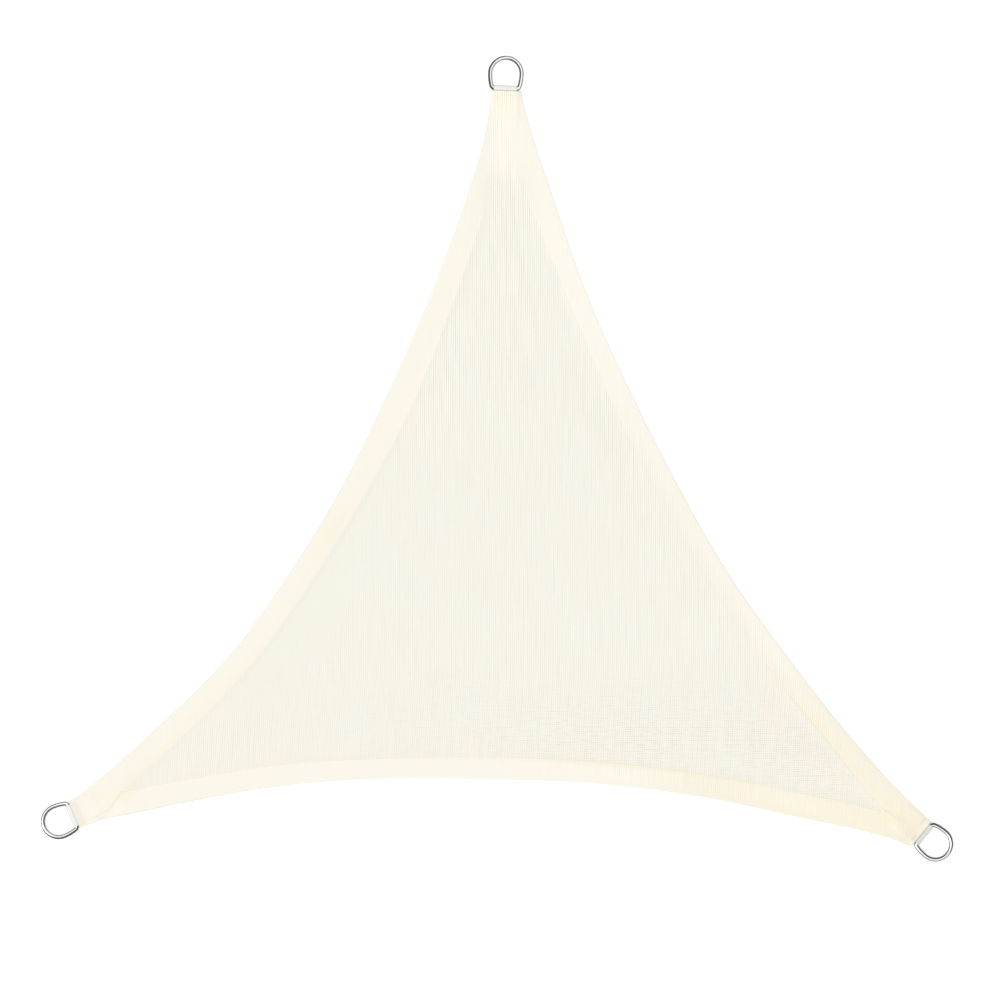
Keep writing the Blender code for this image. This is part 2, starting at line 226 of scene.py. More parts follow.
# The olive shade under the seam
OLIVE = (
    (250, -680, 260, 60, -6, 0.5),
    (640, -735, 200, 60, -12, 0.16),
    (715, -608, 120, 40, -49, 0.12),
)
# Patches painted darker, and lighter where the amount is below 0: the cloth's uneven tone, and at the left corner
# painted light against the shade where its face rises over the strap's tail
DUSK = (
    (912, -812, 35, 28, -40, 0.034),
    (560, -755, 160, 30, -12, 0.016),
    (430, -716, 120, 24, -10, 0.03),
    (745, -580, 170, 24, -49, 0.022),
    (775, -722, 150, 30, -22, -0.018),
    (600, -460, 250, 40, -55, -0.01),
    (-866, -760, 35, 30, 23, -0.02),
    (-917, -788, 34, 9, -67, -0.012),
    (905, -838, 22, 14, -15, 0.06),
    (12, 800, 40, 12, 0, 0.035),
    (229, 279, 200, 18, -67, -0.012),
    (-20, 700, 100, 22, 80, 0.016),
    (115, 550, 270, 28, -71, -0.018),
    (760, -690, 260, 80, -38, 0.02),
    (560, -400, 300, 50, -55, 0.006),
    (300, -620, 350, 60, 0, 0.01),
    (72, -70, 60, 60, 0, 0.006),
    (250, 60, 110, 35, -62, 0.013),
    (-330, -130, 250, 20, 58, 0.01),
    (-780, -720, 100, 30, 28, -0.012),
)
# How dark the edge and the cut end are painted: soiling, and painted shade along the fold; below 0, lighter
EDGE_SOILING_AND_SHADE = (
    (-925, -787, 40, 16, -67, -0.4),
    (-720, -765, 250, 40, 12, 0.45),
    (520, -280, 550, 90, -59, 0.4),
    (-300, -100, 800, 120, 58, 0.75),
    (870, -835, 60, 30, -15, 0.2),
    (939, -823, 34, 12, 52, 0.45),
    (16, 810, 45, 12, 0, 0.5),
)
# Where the seam pulls the cloth into view
SEAM_PULL = (
    (50, -730, 720, 90, 0, 0.75),
    (810, -680, 170, 80, -48, 0.75),
    (-780, -720, 80, 60, 30, 0.5),
)

# Sizes that follow
WIRE_R = WIRE / 2
LOOP_INNER = WIRE_R + BAR_PLAY
LOOP_OUTER = LOOP_INNER + STRAP_THICK
BAR_HEIGHT = LOOP_OUTER
CROWN_R = (RING_WIDTH - WIRE) / 2
RING_REACH = RING_HEIGHT - WIRE
RING_TILT = math.asin((BAR_HEIGHT - WIRE_R) / RING_REACH)
TAIL_BOTTOM = LAYER + GAP
TAIL_TOP = TAIL_BOTTOM + 2 * STRAP_THICK
HALF_STRAP = STRAP_WIDTH / 2
POCKET_END = STRAP_TAIL + GAP
STRAP_SHOULDER = HALF_STRAP + 0.0013
TAPER_START = 0.096  # from the bar to where the face begins to rise over the strap's tail


# ---- helpers


def smooth_between(values, shares):
    """The values at shares of a side, on a smooth curve through those at the stations."""
    values = np.array(values, float)
    slopes = np.gradient(values, STATIONS)
    i = np.clip(np.searchsorted(STATIONS, shares, side="right") - 1, 0, len(STATIONS) - 2)
    step = STATIONS[i + 1] - STATIONS[i]
    t = (shares - STATIONS[i]) / step
    rise = t * t * (3 - 2 * t)
    curve = step * (slopes[i] * t * (1 - t) ** 2 - slopes[i + 1] * t * t * (1 - t))
    return values[i] * (1 - rise) + values[i + 1] * rise + curve


def ramp(values, low, high):
    """0 up to low, 1 from high on, and a soft S between."""
    t = np.clip((values - low) / (high - low), 0, 1)
    return t * t * (3 - 2 * t)


def soft_noise(points, size, seed):
    """Even noise from -1 to 1 over a plane, with swells of about the given size."""
    lattice = np.random.default_rng(seed).uniform(-1, 1, (97, 97))
    at = points / size
    cell = np.floor(at).astype(int)
    t = at - cell
    t = t * t * (3 - 2 * t)
    x, y = cell[:, 0] % 97, cell[:, 1] % 97
    x2, y2 = (x + 1) % 97, (y + 1) % 97
    near = lattice[x, y] * (1 - t[:, 0]) + lattice[x2, y] * t[:, 0]
    far = lattice[x, y2] * (1 - t[:, 0]) + lattice[x2, y2] * t[:, 0]
    return near * (1 - t[:, 1]) + far * t[:, 1]


def new_object(name, data):
    made = bpy.data.objects.new(name, data)
    bpy.context.scene.collection.objects.link(made)
    return made


def new_mesh(name, bm):
    mesh = bpy.data.meshes.new(name)
    bm.to_mesh(mesh)
    bm.free()
    return mesh


def add_piece(name, mesh, material):
    """A finished piece of the sail."""
    mesh.materials.append(material)
    piece = new_object(name, mesh)
    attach(piece, BODY)
    return piece


def thicken(sheet, thickness):
    solid = sheet.modifiers.new("thickness", "SOLIDIFY")
    solid.thickness = thickness
    solid.offset = 0


def applied_mesh(piece, name):
    """The piece's mesh with its modifiers applied; the piece itself is removed."""
    graph = bpy.context.evaluated_depsgraph_get()
    mesh = bpy.data.meshes.new_from_object(piece.evaluated_get(graph), depsgraph=graph)
    bpy.data.objects.remove(piece)
    mesh.name = name
    return mesh


def shade(mesh, sharp_degrees):
    mesh.shade_smooth()
    mesh.set_sharp_from_angle(angle=math.radians(sharp_degrees))


# ---- plan of the sail


class Corner:
    """One corner's own frame: x outward from the middle of the ring's bar, y to the left."""

    def __init__(self, row):
        self.name, bar_x, bar_y, degrees, self.left, self.right, self.back_left, self.back_right = row
        angle = math.radians(degrees)
        self.bar = np.array((bar_x, bar_y))
        self.out = np.array((math.cos(angle), math.sin(angle)))
        self.across = np.array((-self.out[1], self.out[0]))
        self.place = Matrix.Translation((bar_x, bar_y, 0)) @ Matrix.Rotation(angle, 4, "Z")

    def plan(self, x, y):
        return self.bar + np.multiply.outer(x, self.out) + np.multiply.outer(y, self.across)

    def local(self, points):
        offset = points - self.bar
        return offset @ self.out, offset @ self.across

    def end_x(self, y):
        share = (y + self.right) / (self.left + self.right)
        line = -(self.back_right + (self.back_left - self.back_right) * share)
        return line + END_BULGE * (1 - ramp(np.abs(y), 0.0165, 0.0245))


class Side:
    """One side from corner to corner, counter-clockwise: its folded edge and its hem."""

    STEPS = 250
    CROWDING = 0.4

    def __init__(self, hollow, hem, start, end):
        even = np.linspace(0, 1, self.STEPS + 1)
        share = even * (1 - self.CROWDING) + (0.5 - 0.5 * np.cos(math.pi * even)) * self.CROWDING
        along = end - start
        square = np.array((-along[1], along[0])) / np.hypot(*along)
        depth = smooth_between(hollow, share) * MM
        self.edge = start + np.outer(share, along) + np.outer(depth, square)
        run = np.gradient(self.edge, axis=0)
        run /= np.linalg.norm(run, axis=1)[:, None]
        self.inward = np.stack((-run[:, 1], run[:, 0]), 1)
        self.hem = smooth_between(hem, share) * MM
        steps = np.linalg.norm(np.diff(self.edge, axis=0), axis=1)
        self.way = np.concatenate(([0], np.cumsum(steps)))

    def line(self, distance):
        """The line at this distance inside the folded edge."""
        return self.edge + self.inward * np.broadcast_to(distance, self.hem.shape)[:, None]

    def measure(self, points):
        """Each point's distance inside the edge, its way along the side and the hem's width there."""
        step = np.diff(self.edge, axis=0)
        long2 = (step**2).sum(1)
        found = []
        for part in np.array_split(points, len(points) // 3000 + 1):
            off = part[:, None] - self.edge[:-1]
            t = np.clip((off * step).sum(2) / long2, 0, 1)
            miss = ((off - t[..., None] * step) ** 2).sum(2)
            i = miss.argmin(1)
            k = np.arange(len(part))
            cross = step[i, 0] * off[k, i, 1] - step[i, 1] * off[k, i, 0]
            distance = np.sqrt(miss[k, i]) * np.where(cross < 0, -1, 1)
            way = self.way[i] + t[k, i] * np.sqrt(long2[i])
            found.append((distance, way, np.interp(way, self.way, self.hem)))
        return [np.concatenate(column) for column in zip(*found)]


corners = [Corner(row) for row in CORNERS]
sides = []
for k, (hollow, hem) in enumerate(SIDES.values()):
    a, b = corners[k], corners[(k + 1) % 3]
    sides.append(Side(hollow, hem, a.plan(a.end_x(a.left), a.left), b.plan(b.end_x(-b.right), -b.right)))


class Plan:
    """Where points of the cloth lie between its folded edges and its hem's inner edge."""

    def __init__(self, points):
        edge, way, hem = (np.array(column) for column in zip(*(side.measure(points) for side in sides)))
        k = np.arange(len(points))
        nearest = (edge - hem).argmin(0)
        self.from_edge = edge.min(0)
        self.from_hem = (edge - hem)[nearest, k]  # below 0 over the hem
        self.way = way[nearest, k] + nearest * 3.0
        self.hem = hem[nearest, k]
        self.edge_by_side = edge
        self.corner_x = np.full(len(points), -FAR)
        self.corner_y = np.zeros(len(points))
        self.from_end = np.full(len(points), 0.05)
        for corner in corners:
            x, y = corner.local(points)
            near = (x > -0.3) & (np.abs(y) < 0.2)
            self.corner_x[near] = x[near]
            self.corner_y[near] = y[near]
            self.from_end[near] = np.minimum(corner.end_x(y[near]) - x[near], 0.05)


# ---- webbing and cloth


def strap_slope():
    """The angle at which the strap's upper run leaves the loop, and that run's fall per metre."""
    bend = Vector((-STRAP_BEND, TAIL_TOP - BAR_HEIGHT))
    leave = math.atan2(bend.y, bend.x) % math.tau - math.acos(LOOP_OUTER / bend.length)
    return leave, -1 / math.tan(leave)


def strap_top(x):
    """The height of the strap's upper side at x outward from the bar."""
    leave, fall = strap_slope()
    start_x, start_z = LOOP_OUTER * math.cos(leave), BAR_HEIGHT + LOOP_OUTER * math.sin(leave)
    return np.maximum(start_z + fall * (x - start_x), TAIL_TOP)


def corner_lift(points):
    """How far the folded corner ends stand over the hem's level, above the straps' tails."""
    fall = strap_slope()[1]
    lift = np.zeros(len(points))
    for corner in corners:
        x, y = corner.local(points)
        clear = (GAP + LAYER) * math.hypot(1, fall)
        full = strap_top(np.maximum(x, -POCKET_END)) + clear - 2 * LAYER
        full = full * ramp(x, -TAPER_START, -0.034)
        reach = np.where(y > 0, corner.left, corner.right) - STRAP_SHOULDER
        beside = np.clip((np.abs(y) - STRAP_SHOULDER) / reach, 0, 1)
        full = full * (1 - beside * (1.3 - 0.3 * beside))
        lift = np.where((x > -TAPER_START) & (np.abs(y) < 0.06), np.maximum(lift, full), lift)
    return lift


def crease_lift(points):
    lift = np.zeros(len(points))
    for row in CREASES:
        x1, y1, x2, y2, height, width = (value * MM for value in row)
        start, along = np.array((x1, y1)), np.array((x2 - x1, y2 - y1))
        t = (points - start) @ along / (along @ along)
        miss = np.linalg.norm(points - start - np.clip(t, 0, 1)[:, None] * along, axis=1)
        ends = ramp(t, -0.02, 0.25) * (1 - ramp(t, 0.75, 1.02))
        lift += height * np.exp(-((miss / width) ** 2)) * ends
    return lift


def face_level(points):
    """The height of the middle of the face layer."""
    plan = Plan(points)
    d = plan.from_hem
    faded = amounts(points, FADED_SEAM)
    over_hem = 1 - ramp(d, -0.0005, DRAPE * (1 + 2.2 * faded))
    level = BODY_LEVEL + (HEM_LEVEL - BODY_LEVEL) * over_hem
    # The hem is a little full between its fold and its stitches, which pull the layers together.
    t = np.clip(plan.from_edge / np.maximum(plan.hem - SEAM_IN, 1e-4), 0, 1)
    away = 1 - ramp(plan.corner_x, -0.12, -0.06)
    pull = amounts(points, SEAM_PULL, SEAM_PULLED) * (1 - 0.9 * faded)
    level += FULLNESS * np.sin(math.pi * t) * over_hem * away
    level -= STITCH_DIP * pull * np.exp(-(((d + SEAM_IN) / 0.0016) ** 2)) * away
    # The seam draws the cloth into small puckers that run out across the hem and into the body.
    slanted = np.stack((plan.way + 0.35 * d, d * 0.25), 1)
    pucker = 0.6 * soft_noise(slanted, 0.011, 3) + 0.4 * soft_noise(slanted, 0.024, 4)
    reach = np.where(d > 0, np.exp(-((d / 0.022) ** 2)), np.exp(-((d / 0.036) ** 2)))
    level += PUCKER * pull * pucker * reach * away
    # The single layer lies in slow swells.
    swell = 0.5 + 0.3 * soft_noise(points, 0.31, 5) + 0.2 * soft_noise(points * (1, 0.5), 0.13, 6)
    level += SWELL * np.clip(swell, 0, 1) * ramp(d, 0.004, 0.08)
    # Near the rings the pull gathers the cloth into ridges that point at the ring.
    gather = soft_noise(np.stack((plan.corner_y, plan.corner_x * 0.12), 1), 0.0065, 8)
    level += GATHER * gather * ramp(plan.corner_x, -0.17, -0.08) * (1 - ramp(plan.corner_x, -0.045, -0.03))
    level += crease_lift(points) + corner_lift(points)
    return level, plan


def end_ys(corner, step):
    """Distances to the left of the ring's middle line across the cloth's end, right to left, rims left out."""
    count = round((corner.left + corner.right) / step)
    return np.linspace(-corner.right, corner.left, count + 1)[1:-1]


def rim_loop():
    """The sail's outline, its folded sides set in by the fold, and each point's place on its side."""
    points, marks = [], []
    for k, side in enumerate(sides):
        points.append(side.line(FOLD_R))
        marks += [(k, i) for i in range(len(side.edge))]
        corner = corners[(k + 1) % 3]
        ys = end_ys(corner, END_STEP)
        points.append(corner.plan(corner.end_x(ys), ys))
        marks += [None] * len(ys)
    return np.concatenate(points), marks


def kept(line, low_edge, low_hem, high_hem):
    """The points of a line that lie clear of the corners, between these distances inside the sides' edges."""
    plan = Plan(line)
    clear = (plan.from_edge > low_edge) & (plan.from_hem > low_hem) & (plan.from_hem < high_hem)
    return line[clear & (plan.corner_x < -CALM)]


def corner_points(step, back, low_edge, high_hem):
    """Points on the folded corners in rows parallel to the bars, this far behind the cut ends."""
    rows = []
    for corner in corners:
        for x in np.arange(-CALM, -0.008, step):
            ys = np.arange(-END_REACH, END_REACH, step) + 0.0004
            rows.append(corner.plan(np.full(len(ys), x), ys))
    points = np.concatenate(rows)
    plan = Plan(points)
    behind = (plan.from_edge > low_edge) & (plan.from_hem < high_hem)
    for corner in corners:
        x, y = corner.local(points)
        near = (np.abs(x) < 0.1) & (np.abs(y) < 0.06)
        behind &= ~near | (x < corner.end_x(y) - back)
    return points[behind]


def face_points():
    """Points inside the outline, close together where the cloth bends: at the seams and the corners."""
    found = []
    for side in sides:
        found += [kept(side.line(side.hem + d), 0.003, d - TOUCH, FAR) for d in SEAM_LINES]
        found += [kept(side.line(u), u - TOUCH, -FAR, -0.013) for u in HEM_LINES]
    rows = [
        np.stack((np.arange(-0.95, 0.95, FACE_STEP) + (i % 2) * FACE_STEP / 2, np.full(181, y)), 1)
        for i, y in enumerate(np.arange(-0.85, 0.85, FACE_STEP * 0.866))
    ]
    grid = np.concatenate(rows)
    found.append(grid[Plan(grid).from_hem > 0.0185])
    found.append(corner_points(END_STEP, 0.0012, 0.0028, FAR))
    return np.concatenate(found)


def under_points():
    found = [kept(side.line(u), u - TOUCH, -FAR, -0.006)[::2] for side in sides for u in UNDER_LINES]
    return np.concatenate([*found, corner_points(UNDER_STEP, 0.004, 0.005, -0.004)])


def hem_end_loop():
    """The inner edge of the folded layer, round the sail."""
    loop = []
    for side in sides:
        line = side.line(side.hem)
        plan = Plan(line)
        loop.append(line[(plan.from_hem > -TOUCH) & (plan.from_edge > 0.02)])
    return np.concatenate(loop)


def triangulate(loops, loose):
    """Triangles over the loops and the loose points: points, triangles, and where each loop point went."""
    points = np.concatenate([*loops, loose])
    edges, start = [], 0
    for loop in loops:
        n = len(loop)
        edges += [(start + i, start + (i + 1) % n) for i in range(n)]
        start += n
    made = delaunay_2d_cdt([Vector(p) for p in points], edges, [], 1, 1e-6)
    place = {source: i for i, sources in enumerate(made[3]) for source in sources}
    return np.array([tuple(p) for p in made[0]]), made[2], place


def spots(points, table):
    """The sum of a table's soft, turned ovals at each point."""
    total = np.zeros(len(points))
    for x, y, half_long, half_wide, degrees, amount in table:
        a = math.radians(degrees)
        off = points - (x * MM, y * MM)
        u = (off[:, 0] * math.cos(a) + off[:, 1] * math.sin(a)) / (half_long * MM)
        v = (off[:, 1] * math.cos(a) - off[:, 0] * math.sin(a)) / (half_wide * MM)
        total += amount * np.exp(-(u * u + v * v))
    return total


def amounts(points, table, base=0.0):
    """The spots over a base, kept to a share from 0 to 1."""
    return np.clip(base + spots(points, table), 0, 1)


def cloth_maps(points, plan):
    """Each point's values for CLOTH_MAPS."""
    fringe = ramp(plan.from_hem, -0.014, 0.002)
    on_hem = 1 - ramp(plan.from_hem, -0.001, 0.001)
    ribbed = np.maximum(fringe, amounts(points, RIBBED_HEM) * ramp(plan.from_edge, 0.006, 0.020))
    ribs = amounts(points, OPEN_RIBS, RIBS_OPEN) * ribbed
    rows = amounts(points, OPEN_ROWS, ROWS_OPEN) * ramp(plan.from_hem, -0.010, 0.002)
    uneven = np.clip(1 - spots(points, SMOOTH_YARN), 0.12, 1) * np.maximum(ribbed, 0.15)
    warmth = spots(points, WARM_HEM) * on_hem + spots(points, WARM_BODY) * (1 - on_hem)
    olive = spots(points, OLIVE) * ramp(plan.from_hem, -0.015, -0.002) * on_hem
    tone = np.maximum(1 - ramp(plan.from_edge, 0.004, 0.050), ramp(points[:, 1], 0.569, 0.679))
    colours = (np.clip(warmth, 0, 1), np.clip(olive, 0, 1), spots(points, DUSK), amounts(points, FADED_SEAM), tone)
    soiling_and_shade = amounts(points, EDGE_SOILING_AND_SHADE, EDGE_SOILING_AND_SHADE_BASE)
    return plan.from_hem, plan.from_edge, plan.from_end, ribs, rows, uneven, *colours, soiling_and_shade


def mirrored_under(points):
    """Where points of the folded layer were in the flat cloth: mirrored over the fold."""
    plan = Plan(points)
    nearest = plan.edge_by_side.argmin(0)
    flat = points.copy()
    for k, side in enumerate(sides):
        mine = nearest == k
        way = side.measure(points[mine])[1] if mine.any() else np.zeros(0)
        square = np.stack([np.interp(way, side.way, side.inward[:, axis]) for axis in (0, 1)], 1)
        flat[mine] -= 2 * plan.from_edge[mine, None] * square
    return flat


def make_cloth(material):
    """The face layer, folded round the sides' edges into the hem's under layer, as one thick sheet."""
    loop, marks = rim_loop()
    face, face_faces, face_place = triangulate([loop], face_points())
    face_z, plan = face_level(face)
    under, under_faces, under_place = triangulate([loop, hem_end_loop()], under_points())
    middles = under[np.array(under_faces)].mean(1)
    keep = Plan(middles).from_hem < 0
    used = sorted({i for f, k in zip(under_faces, keep) if k for i in f})

    bm = bmesh.new()
    flat_layer = bm.verts.layers.float_vector.new("flat")
    map_layers = [bm.verts.layers.float.new(name) for name in CLOTH_MAPS]

    def vert(x, y, z, flat, maps):
        made = bm.verts.new((x, y, z))
        made[flat_layer] = (flat[0], flat[1], 0)
        for layer, value in zip(map_layers, maps):
            made[layer] = value
        return made

    maps = np.stack(cloth_maps(face, plan), 1)
    upper = [vert(*p, z, p, values) for p, z, values in zip(face, face_z, maps)]
    for triangle in face_faces:
        bm.faces.new([upper[i] for i in triangle])
    unfolded = mirrored_under(under)
    lower = {i: vert(*under[i], UNDER_LEVEL, unfolded[i], UNDER_MAPS) for i in used}
    for triangle, k in zip(under_faces, keep):
        if k:
            bm.faces.new([lower[i] for i in reversed(triangle)])
    folds = {}
    for n, mark in enumerate(marks):
        if mark is None:
            continue
        side, i = sides[mark[0]], mark[1]
        top, bottom = upper[face_place[n]], lower[under_place[n]]
        half = (top.co.z - bottom.co.z) / 2
        arc = [top]
        for degrees in FOLD_DEGREES:
            a = math.radians(degrees)
            p = side.edge[i] + side.inward[i] * (FOLD_R * (1 - math.cos(a)))
            arc.append(vert(*p, bottom.co.z + half * (1 + math.sin(a)), p, FOLD_MAPS))
        folds[n] = [*arc, bottom]
    for n in folds:
        if n + 1 in folds and marks[n][0] == marks[n + 1][0]:
            one, two = folds[n], folds[n + 1]
            for j in range(len(one) - 1):
                bm.faces.new((one[j], one[j + 1], two[j + 1], two[j]))
    sheet = new_object("cloth_sheet", new_mesh("cloth_sheet", bm))
    thicken(sheet, CLOTH_THICK)
    mesh = applied_mesh(sheet, "knitted_cloth")
    shade(mesh, 50)
    return add_piece("knitted_cloth", mesh, material)


# ---- webbing

STRAP_PAINTED_SHADE = {"top": 0.0, "left": 0.0, "right": 0.55}  # painted shade: how grey each strap's upper side is painted
BEND_PAINTED_SHADE = 0.8  # and the painted shade on each strap where it turns round the bar


def strap_path():
    """The middle of the strap's thickness, in the corner's X and Z, from one end of its tail to the other."""
    radius = (LOOP_INNER + LOOP_OUTER) / 2
    low, high = TAIL_BOTTOM + STRAP_THICK / 2, TAIL_TOP - STRAP_THICK / 2
    leave = strap_slope()[0]
    meet = -math.pi - math.asin((low - BAR_HEIGHT) / radius)
    path = [(x, low) for x in np.linspace(-STRAP_TAIL, radius * math.cos(meet), 14, endpoint=False)]
    arc = np.linspace(meet, leave, 44)
    path += [(radius * math.cos(a), BAR_HEIGHT + radius * math.sin(a)) for a in arc]
    last = path[-1]
    for t in np.linspace(0, 1, 10)[1:]:
        path.append((last[0] + (-STRAP_BEND - last[0]) * t, last[1] + (high - last[1]) * t))
    path += [(x, high) for x in np.linspace(-STRAP_BEND, -STRAP_TAIL, 9)[1:]]
    return path


def make_strap(corner, material):
    path = strap_path()
    across = np.linspace(-HALF_STRAP, HALF_STRAP, 27)
    way = 0.0
    bm = bmesh.new()
    flat = bm.loops.layers.uv.new("flat")
    painted_shade = bm.verts.layers.float.new("painted_shade")
    rows, ways = [], []
    for i, (x, z) in enumerate(path):
        if i:
            way += math.hypot(x - path[i - 1][0], z - path[i - 1][1])
        ways.append(way)
        rows.append([bm.verts.new(corner.place @ Vector((x, y, z))) for y in across])
        for vert in rows[-1]:
            # How much painted shade the strap carries here: on its upper side, and where it turns round the bar
            vert[painted_shade] = max(STRAP_PAINTED_SHADE[corner.name], float(ramp(x, 0.0030, 0.0066)) * BEND_PAINTED_SHADE)
    for i in range(1, len(rows)):
        for j in range(1, len(across)):
            face = bm.faces.new((rows[i - 1][j - 1], rows[i][j - 1], rows[i][j], rows[i - 1][j]))
            places = ((i - 1, j - 1), (i, j - 1), (i, j), (i - 1, j))
            for loop, (a, b) in zip(face.loops, places):
                loop[flat].uv = (across[b], ways[a])
    strap = new_object("strap_sheet", new_mesh("strap_sheet", bm))
    thicken(strap, STRAP_THICK - 0.0001)
    selvedge = strap.modifiers.new("selvedge", "BEVEL")
    selvedge.width = 0.0005
    selvedge.segments = 2
    selvedge.limit_method = "ANGLE"
    selvedge.angle_limit = math.radians(60)
    mesh = applied_mesh(strap, f"webbing_{corner.name}")
    shade(mesh, 40)
    piece = add_piece(f"webbing_{corner.name}", mesh, material)
    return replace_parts(piece, f"webbing_loop_{corner.name}")


# ---- rings


def ring_path():
    """The middle of the ring's wire, as (point, outward normal)."""
    crown_x = RING_REACH - CROWN_R
    lean = math.asin((crown_x - RING_CORNER) / (RING_SIDE - RING_CORNER))
    corner_y = CROWN_R - (RING_SIDE - RING_CORNER) * (1 - math.cos(lean)) - RING_CORNER
    arcs = (
        # middle x, middle y, radius, first angle, last angle, steps
        (crown_x, 0, CROWN_R, -math.pi / 2, math.pi / 2, 72),
        (crown_x, CROWN_R - RING_SIDE, RING_SIDE, math.pi / 2, math.pi / 2 + lean, 14),
        (RING_CORNER, corner_y, RING_CORNER, math.pi / 2 + lean, math.pi, 14),
        (RING_CORNER, -corner_y, RING_CORNER, -math.pi, -math.pi / 2 - lean, 14),
        (crown_x, RING_SIDE - CROWN_R, RING_SIDE, -math.pi / 2 - lean, -math.pi / 2, 14),
    )
    path = []
    for x, y, radius, first, last, steps in arcs:
        for a in np.linspace(first, last, steps + 1):
            normal = Vector((math.cos(a), math.sin(a), 0))
            point = Vector((x, y, 0)) + normal * radius
            if not path or (point - path[-1][0]).length > 1e-6:
                path.append((point, normal))
    if (path[0][0] - path[-1][0]).length < 1e-6:
        path.pop()
    return path


def make_ring(corner, material):
    place = corner.place @ Matrix.Translation((0, 0, BAR_HEIGHT)) @ Matrix.Rotation(RING_TILT, 4, "Y")
    around = [i * math.tau / 40 for i in range(40)]
    bm = bmesh.new()
    rows = []
    for point, normal in ring_path():
        offsets = [normal * math.cos(t) + Vector((0, 0, math.sin(t))) for t in around]
        rows.append([bm.verts.new(place @ (point + offset * WIRE_R)) for offset in offsets])
    for s, row in enumerate(rows):
        for i in range(len(around)):
            bm.faces.new((rows[s - 1][i - 1], rows[s - 1][i], row[i], row[i - 1]))
    bmesh.ops.recalc_face_normals(bm, faces=bm.faces)
    mesh = new_mesh(f"steel_ring_{corner.name}", bm)
    mesh.shade_smooth()
    piece = add_piece(mesh.name, mesh, material)
    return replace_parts(piece, f"d_ring_{corner.name}")


# ---- sewing

STITCH_PITCH = 0.0038
STITCH_LENGTH = 0.0034
THREAD = 0.0006
# The left corner's mitre, which is sewn with a zigzag
MITRE = ((-0.8273, -0.7365), (-0.8600, -0.7790), (-0.8900, -0.7970))
MITRE_STITCH = (0.0008, 0.0048)
RIGHT_MITRE = ((0.8510, -0.7715), (0.8950, -0.8000))
# Rows that hold the straps' tails: corner, first x and y, last x and y, x outward from the bar
TACK_ROWS = (
    ("top", -0.0150, -0.0215, -0.0150, 0.0205),
    ("right", -0.0112, -0.0255, -0.0112, -0.0130),
    ("right", -0.0135, -0.0250, -0.0135, -0.0125),
    ("right", -0.0180, 0.0140, -0.0180, 0.0250),
    ("right", -0.0203, 0.0150, -0.0203, 0.0260),
)


class Tree:
    """Adds nodes to a node tree, with values or links by socket."""

    def __init__(self, tree):
        self.tree = tree

    def node(self, kind, inputs=(), **settings):
        made = self.tree.nodes.new(kind)
        for name, value in settings.items():
            setattr(made, name, value)
        for key, value in dict(inputs).items():
            self.put(made.inputs[key], value)
        return made

    def put(self, socket, value):
        if isinstance(value, bpy.types.NodeSocket):
            self.tree.links.new(value, socket)
        else:
            socket.default_value = value

    def math(self, operation, *values, clamp=False):
        made = self.node("ShaderNodeMath", operation=operation, use_clamp=clamp)
        for socket, value in zip(made.inputs, values):
            self.put(socket, value)
        return made.outputs[0]

    def times(self, *values):
        return self.math("MULTIPLY", *values)

    def times_plus(self, *values):
        return self.math("MULTIPLY_ADD", *values)

    def split(self, vector):
        return self.node("ShaderNodeSeparateXYZ", {0: vector}).outputs

    def vector(self, x, y, z=0.0):
        return self.node("ShaderNodeCombineXYZ", {0: x, 1: y, 2: z}).outputs[0]

    def colour(self, red, green, blue):
        return self.node("ShaderNodeCombineColor", {0: red, 1: green, 2: blue}).outputs[0]

    def noise(self, place, scale, detail):
        return self.node("ShaderNodeTexNoise", {"Vector": place, "Scale": scale, "Detail": detail}).outputs

    def attribute(self, name, output="Fac"):
        return self.node("ShaderNodeAttribute", attribute_name=name).outputs[output]

    def bump(self, height, strength, distance):
        depth = {"Height": height, "Strength": strength, "Distance": distance}
        return self.node("ShaderNodeBump", depth).outputs[0]

    def mix(self, factor, one, two, kind="RGBA", blend="MIX"):
        made = self.node("ShaderNodeMix", data_type=kind)
        if kind == "RGBA":
            made.blend_type = blend
        places = {"RGBA": (0, 6, 7, 2), "FLOAT": (0, 2, 3, 0)}[kind]
        for place, value in zip(places, (factor, one, two)):
            self.put(made.inputs[place], value)
        return made.outputs[places[3]]

    def ramp(self, value, low, high, to_low=0.0, to_high=1.0):
        made = self.node(
            "ShaderNodeMapRange",
            {"Value": value, "From Min": low, "From Max": high, "To Min": to_low, "To Max": to_high},
            interpolation_type="SMOOTHSTEP",
        )
        return made.outputs["Result"]


def new_group(name, kind, inputs, outputs):
    """A node group with named inputs and outputs, its tree, and what it is given and puts out."""
    group = bpy.data.node_groups.new(name, f"{kind}NodeTree")
    for label, socket, value in inputs:
        made = group.interface.new_socket(label, in_out="INPUT", socket_type=f"NodeSocket{socket}")
        if value is not None:
            made.default_value = value
    for label, socket in outputs:
        group.interface.new_socket(label, in_out="OUTPUT", socket_type=f"NodeSocket{socket}")
    tree = Tree(group)
    return group, tree, tree.node("NodeGroupInput").outputs, tree.node("NodeGroupOutput").inputs


